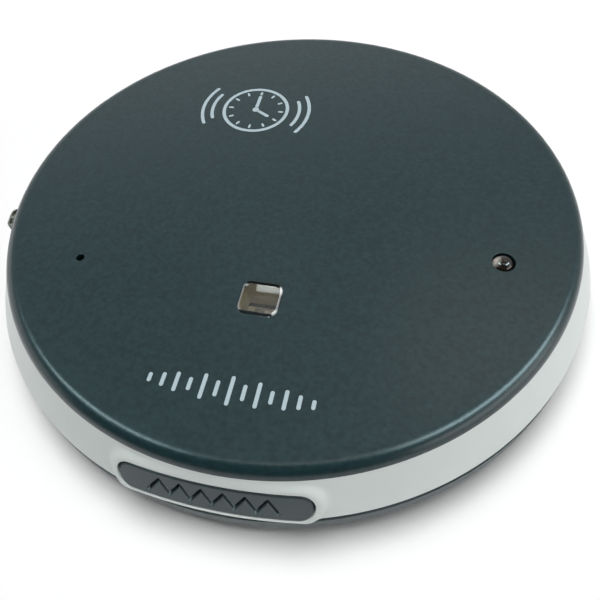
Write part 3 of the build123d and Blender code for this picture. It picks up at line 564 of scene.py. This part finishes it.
case_height = 0.0225
ceiling = 0.0203
edge_round = 0.0032
hole_edge = 0.00005
hole_flat = 0.0002
window_centre = (0.0002, -0.0299)
window_half = (0.0044, 0.0042)
window_corner = 0.0019
sensor_centre = (0.0494, -0.0117)
sensor_hole = 0.0025
pinhole_centre = (-0.0425, -0.0260)
pinhole = 0.00095
skirt_outer = 0.0633
skirt_inner = 0.0619
skirt_bottom = 0.0183
rim_margin = 0.0006
roll_steps = 29


def polar(radius, turn):
    """Plan points at a radius and a turn about the origin."""
    return radius * np.stack([np.cos(turn), np.sin(turn)], axis=-1)


def rounded(centre, half, corner, grow=0.0, count=96):
    """Rounded rectangle in plan: quarter turns about the corners' centres, of radius corner plus grow."""
    turn = np.concatenate([np.radians(np.linspace(90 * k, 90 * k + 90, count // 4)) for k in range(4)])
    side_x = np.repeat([1, -1, -1, 1], count // 4) * (half[0] - corner)
    side_y = np.repeat([1, 1, -1, -1], count // 4) * (half[1] - corner)
    return np.array(centre) + np.stack([side_x, side_y], axis=-1) + polar(corner + grow, turn)


def distinct(outline):
    """An outline without its repeated corner points."""
    kept = np.linalg.norm(outline - np.roll(outline, 1, axis=0), axis=-1) > 1e-8
    return outline[kept]


holes = [
    (window_centre, window_half, window_corner),
    (sensor_centre, (sensor_hole, sensor_hole), sensor_hole),
    (pinhole_centre, (pinhole, pinhole), pinhole),
]
hole_lips = [distinct(rounded(*hole, grow=hole_edge + hole_flat)) for hole in holes]
hole_walls = [distinct(rounded(*hole)) for hole in holes]
roll = np.linspace(0, np.arccos(1 - (case_height - band_top) / edge_round), roll_steps)
rim = cover_radius - edge_round * np.sin(roll[-1])
flat_rim = rim - rim_margin
profile = [(flat_rim, case_height)]
profile += list(zip(rim + edge_round * np.sin(roll), case_height - edge_round * (1 - np.cos(roll))))
profile += [(skirt_outer, band_top), (skirt_outer, skirt_bottom), (skirt_inner, skirt_bottom),
            (skirt_inner, ceiling)]
cover_surfaces = [sheet_of(rings(profile), closed=True)]
cover_surfaces.append(plate([polar(flat_rim, turns)] + hole_lips, case_height))
cover_surfaces.append(plate([polar(skirt_inner, turns)] + hole_walls, ceiling))
for hole, lip_outline, wall_outline in zip(holes, hole_lips, hole_walls):
    lip = [lifted(lip_outline, case_height)]
    for bend in np.radians(np.linspace(0, 90, lip_steps)):
        outline = distinct(rounded(*hole, grow=hole_edge * (1 - np.sin(bend))))
        lip.append(lifted(outline, case_height - hole_edge * (1 - np.cos(bend))))
    lip.append(lifted(wall_outline, ceiling))
    cover_surfaces.append(sheet_of(np.stack(lip), closed=True))

cover_lacquer, tree, shader = finish("slate_soft_touch_lacquer", Roughness=0.28)
mottle(tree, shader, ("#00141b", "#203a3d"), drift_mm=1.0, grain_mm=0.4, depth_mm=0.02)
piece("cover_disc", "case", cover_lacquer, cover_surfaces, ["top_cover"])


# Flash window: a lens moulded in clear acrylic, raised in a bevel that is frosted to hide its edge.
# Below it an upright well of grey ABS leads down to the flash lamp.
# A channel at the back of its floor holds painted shade, nearly black, which gives the window its dark
# slit.

lens_gap = 0.0001
lens_rise = 0.0005
lens_top = case_height + lens_rise
bevel_width = 0.0004
bevel_rise = 0.0006
lens_flange = 0.0012
lens_flange_z = 0.0195
pane = -lens_gap - bevel_width
bevel_foot = lens_top - bevel_rise
bevel_joint = 0.00002
back_lap = 0.0005
pane_top = lens_top - 2 * bevel_joint
ring_margin = 0.0001
bevel_steps = 8


def framed(pairs, corner=window_corner):
    """Rings round the window, each at a distance outside its opening and a height."""
    outlines = [distinct(rounded(window_centre, window_half, corner, grow)) for grow, _ in pairs]
    return np.stack([lifted(outline, z) for outline, (_, z) in zip(outlines, pairs)])


lens_rings = framed([
    (lens_flange - ring_margin, lens_flange_z), (lens_flange, lens_flange_z), (lens_flange, ceiling),
    (-lens_gap, ceiling), (-lens_gap, bevel_foot), (pane, bevel_foot),
    (pane, pane_top), (pane - ring_margin, pane_top),
])
lens_surfaces = [sheet_of(lens_rings, closed=True)]
lens_surfaces += [plate([ring[:, :2]], ring[0, 2]) for ring in (lens_rings[0], lens_rings[-1])]
lens_acrylic, tree, shader = finish("clear_moulded_acrylic", Roughness=0.03, IOR=1.49,
                                    Transmission_Weight=1.0)
mottle(tree, shader, ("#eef2f1", "#f8fbfa"), drift_mm=3.0)
piece("flash_window", "case", lens_acrylic, lens_surfaces, ["flash_lens"])

bevel = np.radians(np.linspace(0, 90, bevel_steps))
bevel_out = list(zip(-lens_gap - (bevel_width - bevel_joint) * (1 - np.cos(bevel)),
                     bevel_foot + bevel_joint + (bevel_rise - bevel_joint) * np.sin(bevel)))
bevel_in = [(pane + bevel_joint, lens_top - bevel_joint), (pane + bevel_joint, bevel_foot + bevel_joint)]
lap_centre = (window_centre[0], window_centre[1] - back_lap / 2)
lap_half = (window_half[0] + pane, window_half[1] + pane - back_lap / 2)
lap = rounded(lap_centre, lap_half, window_corner + pane)
lap_rings = np.stack([lifted(lap, lens_top), lifted(lap, lens_top - bevel_joint)])
bevel_rings = np.concatenate([framed(bevel_out), lap_rings, framed(bevel_in + bevel_out[:1])])
bevel_acrylic, tree, shader = finish("frosted_acrylic_bevel", Roughness=0.3, Specular_IOR_Level=0.1)
mottle(tree, shader, ("#8a8c8c", "#969897"), drift_mm=1.5, grain_mm=0.1, depth_mm=0.004)


def paint_light_and_shade_where(tree, shader, colour, limits):
    """Paints light and shade into the base colour by place: blends in a colour past soft limits, each an
    axis with the places where it starts and is full.
    """
    place = add(tree, "ShaderNodeTexCoord").outputs["Object"]
    axes = add(tree, "ShaderNodeSeparateXYZ", {"Vector": place})
    share = 1.0
    for axis, start, stop in limits:
        span = {"Value": axes.outputs[axis], "From Min": start, "From Max": stop}
        step = add(tree, "ShaderNodeMapRange", span)
        product = add(tree, "ShaderNodeMath", {0: share, 1: step.outputs[0]}, operation="MULTIPLY")
        share = product.outputs[0]
    plain = shader.inputs["Base Color"].links[0].from_socket
    tones = add(tree, "ShaderNodeMix", {"Factor": share}, data_type="RGBA")
    colour_inputs = [socket for socket in tones.inputs if socket.type == "RGBA"]
    tree.links.new(plain, colour_inputs[0])
    colour_inputs[1].default_value = linear(colour)
    mixed = next(socket for socket in tones.outputs if socket.type == "RGBA")
    tree.links.new(mixed, shader.inputs["Base Color"])


# Painted light on the bevel: highlights painted on its right corners, and shade painted along its back and
# front strips, set into the colour by place.
bevel_painted_light = {
    "painted highlight, back corner": ("#dfe3e2", [("X", 0.0036, 0.0040), ("Y", -0.0290, -0.0280)]),
    "painted highlight, front corner": ("#dfe3e2", [("X", 0.0030, 0.0036), ("Y", -0.0322, -0.0328)]),
    "painted shade, back strip": ("#0b0c0c", [("Y", -0.0271, -0.0268), ("X", 0.0042, 0.0036)]),
    "painted shade, front strip": ("#2b3032", [("Y", -0.0334, -0.0336), ("X", 0.0040, 0.0034)]),
}
for colour, limits in bevel_painted_light.values():
    paint_light_and_shade_where(tree, shader, colour, limits)
bevel_surfaces = [sheet_of(bevel_rings, closed=True)]
piece("flash_window_bevel", "case", bevel_acrylic, bevel_surfaces)

well_foot = 0.0119
well_floor = 0.0124
well_inner = 0.0001
well_corner = 0.0004
channel_floor = 0.0120
channel_width = 0.0010
channel_blur = 0.0001
lamp_hole = 0.0027
well_back = window_centre[1] + window_half[1] + well_inner
channel_front = well_back - channel_width
well_rings = framed([(lens_flange, well_foot), (lens_flange, lens_flange_z), (well_inner, lens_flange_z),
                     (well_inner, well_foot), (lens_flange, well_foot)], well_corner)
floor_centre = (window_centre[0], window_centre[1] - channel_width / 2)
floor_reach = (window_half[0] + well_inner, window_half[1] + well_inner - channel_width / 2)
channel_centre = (window_centre[0], well_back - channel_width / 2)
channel_reach = (window_half[0] + well_inner, channel_width / 2)
floor_outline = distinct(rounded(floor_centre, floor_reach, well_corner))
lamp_outline = distinct(rounded(window_centre, (lamp_hole, lamp_hole), well_corner))
channel_outline = distinct(rounded(channel_centre, channel_reach, well_corner))
well_surfaces = [sheet_of(well_rings, closed=True)]
well_surfaces += film([floor_outline, lamp_outline], well_foot, well_floor)
well_surfaces += film([channel_outline], well_foot, channel_floor)
well_abs, tree, shader = finish("grey_abs_well", Roughness=0.55, Specular_IOR_Level=0.15)
mottle(tree, shader, ("#aa9c82", "#9c8a68"), drift_mm=3.0, grain_mm=0.2, depth_mm=0.006)
# Painted shade: the channel's floor is blended to near black by place, standing in for the shadow in the
# slit.
painted_shade_limits = [("Z", well_floor, channel_floor), ("Y", channel_front - channel_blur, channel_front)]
paint_light_and_shade_where(tree, shader, "#0a0908", painted_shade_limits)
piece("flash_well", "case", well_abs, well_surfaces, ["flash_reflector"])

lamp_resin, tree, shader = finish("lamp_phosphor_resin", Roughness=0.3)
mottle(tree, shader, ("#6e675a", "#787061"), drift_mm=0.8)
dress(lamp_resin, "flash_lamp")


# Light sensor: a domed package cast in dark smoked epoxy, standing in a close hole on the right.
# A pale patch painted into the epoxy's colour on its left is a painted highlight.
# The epoxy is cast in a polished mould, so the dome carries small sharp glints.

sensor_epoxy, tree, shader = finish("smoked_epoxy", Roughness=0.08, IOR=1.55)
mottle(tree, shader, ("#15110d", "#221c17"), drift_mm=1.2)
# Painted highlight: the pale patch on the dome's left, blended into the colour by place.
painted_highlight_limits = [("X", 0.0489, 0.0477), ("X", 0.0470, 0.0474),
              ("Y", -0.0133, -0.0124), ("Y", -0.0101, -0.0110)]
paint_light_and_shade_where(tree, shader, "#b5b1a9", painted_highlight_limits)
dress(sensor_epoxy, "light_sensor")


# Printed marks: a ringing clock dial at the back and a wave of bars in front, in pale screened ink.
# The ink lies on the lacquer as a film that is hardly thicker than paint, and dries matt.

ink_film = 0.00002
dial_centre = np.array([-0.0160, 0.0300])
dial_radius = 0.0090
dial_line = 0.00045
hour_count = 12
hour_place = 0.76
hour_half = (0.0004, 0.0003)
hand_start = 0.0012
hands = [(np.radians(90), 0.0042), (np.radians(-30), 0.0030)]
hub_radius = 0.0009
bow_sizes = [(0.0118, np.radians(24.0)), (0.0144, np.radians(30.0))]
wave_centre = np.array([-0.0003, -0.0515])
wave_pitch = 0.0027
wave_line = 0.0004
wave_heights = 0.001 * np.array([0.6, 1.1, 1.7, 1.0, 2.3, 1.3, 2.7, 1.3, 2.3, 1.0, 1.7, 1.1, 0.6])
end_steps = 13
bow_steps = 33
cap_steps = 9
circle_steps = 72


def bar(centre, half_length, half_width, angle):
    """Round-ended bar: half turns about the two ends of a middle line that lies at an angle."""
    turn = np.radians(np.concatenate([np.linspace(-90, 90, end_steps), np.linspace(90, 270, end_steps)]))
    x = np.repeat([half_length, -half_length], end_steps) + half_width * np.cos(turn)
    y = half_width * np.sin(turn)
    return centre + np.stack([x * np.cos(angle) - y * np.sin(angle), x * np.sin(angle) + y * np.cos(angle)],
                             axis=-1)


def bow(centre, radius, half_width, middle, spread):
    """Round-ended arc: an outer arc, a half turn about its end, an inner arc back and a half turn again."""
    turn = middle + np.linspace(-spread, spread, bow_steps)
    cap = np.linspace(0, np.pi, cap_steps)[1:-1]
    outer = polar(radius + half_width, turn)
    inner = polar(radius - half_width, turn[::-1])
    last_end = polar(radius, turn[-1]) + polar(half_width, turn[-1] + cap)
    first_end = polar(radius, turn[0]) + polar(half_width, turn[0] + np.pi + cap)
    return centre + np.concatenate([outer, last_end, inner, first_end])


def circle_of(centre, radius):
    """Circle in plan."""
    return centre + polar(radius, np.radians(np.arange(circle_steps) * 360 / circle_steps))


marks = [[circle_of(dial_centre, dial_radius), circle_of(dial_centre, dial_radius - 2 * dial_line)]]
for turn in np.arange(hour_count) * 2 * np.pi / hour_count:
    spot = dial_centre + polar(hour_place * dial_radius, turn)
    marks.append([bar(spot, *hour_half, turn)])
for angle, length in hands:
    spot = dial_centre + polar(length / 2 + hand_start, angle)
    marks.append([bar(spot, length / 2, dial_line, angle)])
marks.append([circle_of(dial_centre, hub_radius)])
for radius, spread in bow_sizes:
    for side in (0.0, np.pi):
        marks.append([bow(dial_centre, radius, dial_line, side, spread)])
for i, height in enumerate(wave_heights):
    spot = wave_centre + np.array([(i - (len(wave_heights) - 1) / 2) * wave_pitch, 0])
    marks.append([bar(spot, height, wave_line, np.pi / 2)])

pale_ink, tree, shader = finish("pale_screen_ink", Roughness=0.45)
mottle(tree, shader, ("#9fb0b7", "#a7b8be"), drift_mm=2.0, grain_mm=0.15, depth_mm=0.003)
printed = [surface for mark in marks for surface in film(mark, case_height, case_height + ink_film)]
piece("cover_print", "case", pale_ink, printed)


# Studio: a sheet of white paper that keeps the shadow near the object and fades into a white background.
# A broad soft box hangs overhead and a white card stands on the right; they light the object.
# The strips and the other cards are there to be mirrored: they draw the rim's and the window's highlights.

floor_half = 1.6
fade = (0.2, 0.6)
room_level = 0.09
haze_span = (-0.1, 0.5)
haze_level = (0.06, 0.5)
glow_way = (-0.35, 1.0, 0.0)
glow_span = (0.66, 0.95)
glow_level = (0.0, 0.36)
cold_white = (0.72, 0.95, 1.0)
warm_white = (1.0, 0.88, 0.76)
sky_white = (0.9, 1.0, 1.0)


def eased(tree, value, span, level=(0.0, 1.0)):
    """Smooth ramp from one level to the other while a value crosses a span."""
    ends = {"From Min": span[0], "From Max": span[1], "To Min": level[0], "To Max": level[1]}
    ramp = add(tree, "ShaderNodeMapRange", {"Value": value, **ends}, interpolation_type="SMOOTHSTEP")
    return ramp.outputs[0]


def seen_directly(path):
    """1 for a ray that comes from the camera, straight or through a clear piece, and 0 for any other."""
    rays = {0: path.outputs["Is Camera Ray"], 1: path.outputs["Is Transmission Ray"]}
    return add(path.id_data, "ShaderNodeMath", rays, operation="MAXIMUM").outputs[0]


floor_mesh = bpy.data.meshes.new("studio_floor")
floor_mesh.from_pydata(lifted(floor_half * square, 0.0).tolist(), [], [(0, 1, 2, 3)])
floor = bpy.data.objects.new("studio_floor", floor_mesh)
bpy.context.scene.collection.objects.link(floor)
paper, tree, shader = finish("white_paper_sweep", Roughness=0.9, Specular_IOR_Level=0.1)
mottle(tree, shader, ("#f3f3f3", "#f5f5f5"), drift_mm=90.0)
place = add(tree, "ShaderNodeTexCoord").outputs["Object"]
distance = add(tree, "ShaderNodeVectorMath", {0: place}, operation="LENGTH")
far = eased(tree, distance.outputs["Value"], fade)
seen = seen_directly(add(tree, "ShaderNodeLightPath"))
share = add(tree, "ShaderNodeMath", {0: far, 1: seen}, operation="MULTIPLY")
white = add(tree, "ShaderNodeEmission", {"Color": (1, 1, 1, 1), "Strength": 1.0})
faded = add(tree, "ShaderNodeMixShader", {0: share.outputs[0], 1: shader.outputs[0], 2: white.outputs[0]})
tree.links.new(faded.outputs[0], tree.nodes["Material Output"].inputs["Surface"])
floor_mesh.materials.append(paper)

# The room that the gloss mirrors is dim in front and brighter behind, with a glow at the back left;
# this gives the flat cover its slow change of tone.
world = bpy.data.worlds.new("studio")
bpy.context.scene.world = world
world.use_nodes = True
tree = world.node_tree
tree.nodes.clear()
path = add(tree, "ShaderNodeLightPath")
toward = add(tree, "ShaderNodeTexCoord").outputs["Generated"]
depth = add(tree, "ShaderNodeSeparateXYZ", {"Vector": toward})
haze = eased(tree, depth.outputs["Y"], haze_span, haze_level)
corner_way = add(tree, "ShaderNodeVectorMath", {0: toward, 1: glow_way}, operation="DOT_PRODUCT")
glow = eased(tree, corner_way.outputs["Value"], glow_span, glow_level)
mirrored = add(tree, "ShaderNodeMath", {0: haze, 1: glow}, operation="ADD")
unseen = {0: path.outputs["Is Glossy Ray"], 2: room_level, 3: mirrored.outputs[0]}
level = add(tree, "ShaderNodeMix", unseen)
level = add(tree, "ShaderNodeMix", {0: seen_directly(path), 2: level.outputs[0], 3: 1.0})
sky = add(tree, "ShaderNodeBackground", {"Color": (1, 1, 1, 1), "Strength": level.outputs[0]})
add(tree, "ShaderNodeOutputWorld", {"Surface": sky.outputs[0]})


def soft_box(name, place, aim, along, size, power, colour=(1.0, 1.0, 1.0)):
    """Oblong lamp at a place, facing a point, with its length along a direction square to its aim."""
    data = bpy.data.lights.new(name, "AREA")
    data.shape, data.energy, data.color = "RECTANGLE", power, colour
    data.size, data.size_y = size
    lamp = bpy.data.objects.new(name, data)
    behind = (Vector(place) - Vector(aim)).normalized()
    length = (Vector(along) - behind * behind.dot(Vector(along))).normalized()
    turned = Matrix((length, behind.cross(length), behind)).transposed()
    lamp.matrix_world = Matrix.Translation(place) @ turned.to_4x4()
    bpy.context.scene.collection.objects.link(lamp)
    return lamp


across_x = (1, 0, 0)
object_middle = (0, 0, 0)
key_box = soft_box("key_box", (-0.05, 0.15, 1.0), (-0.05, 0.15, 0), across_x, (0.72, 0.72), 11.8)
key_box.visible_glossy = False
soft_box("right_card", (0.85, -0.25, 0.24), object_middle, (0.28, 0.96, 0), (0.9, 0.42), 2.7)
soft_box("back_card", (-0.205, 0.526, 0.829), (0.0017, -0.0277, 0.023), across_x, (0.05, 0.022), 0.026,
         sky_white)
mirrored_only = [
    soft_box("left_strip", (-0.55, -0.13, 0.8), object_middle, (0.273, -0.336, 0.154), (0.54, 0.13), 3.25,
             cold_white),
    soft_box("right_strip", (0.66, -0.01, 0.735), object_middle, (0.327, 0.583, -0.272), (0.8, 0.24), 6.8,
             cold_white),
    soft_box("over_strip", (0.18, -0.2, 0.96), object_middle, across_x, (0.8, 0.24), 0.9),
    soft_box("left_card", (-0.95, -0.05, 0.19), (0, 0, 0.1), (0, 1, 0), (0.9, 0.36), 1.0),
    soft_box("front_card", (0.29, 0.465, 0.86), (0.043, -0.025, 0.0225), across_x, (0.54, 0.34), 0.41,
             warm_white),
]
for lamp in mirrored_only:
    lamp.visible_diffuse = False


# Camera: where the photograph was taken from, close above the front edge and a little to the right.
# It is rolled by a few degrees and has a lens of 35.3 mm over a 36 mm frame.

frame_width = 36.0
focal_share = 588.85 / 600
nearest_seen = 0.005
camera_place = Vector((0.027502, -0.095801, 0.123403))
camera_aim = Vector((0.008058, -0.027222, 0.0201))
camera_roll = np.radians(-4.837)

camera_data = bpy.data.cameras.new("camera")
camera_data.sensor_width = frame_width
camera_data.lens = focal_share * frame_width
camera_data.clip_start = nearest_seen
camera = bpy.data.objects.new("camera", camera_data)
ahead = (camera_aim - camera_place).normalized()
level_side = ahead.cross(Vector((0, 0, 1))).normalized()
above = level_side.cross(ahead)
side = level_side * np.cos(camera_roll) + above * np.sin(camera_roll)
top = above * np.cos(camera_roll) - level_side * np.sin(camera_roll)
camera.matrix_world = Matrix((
    (side.x, top.x, -ahead.x, camera_place.x),
    (side.y, top.y, -ahead.y, camera_place.y),
    (side.z, top.z, -ahead.z, camera_place.z),
    (0, 0, 0, 1),
))
bpy.context.scene.collection.objects.link(camera)
bpy.context.scene.camera = camera
bpy.context.scene.view_settings.view_transform = "Standard"
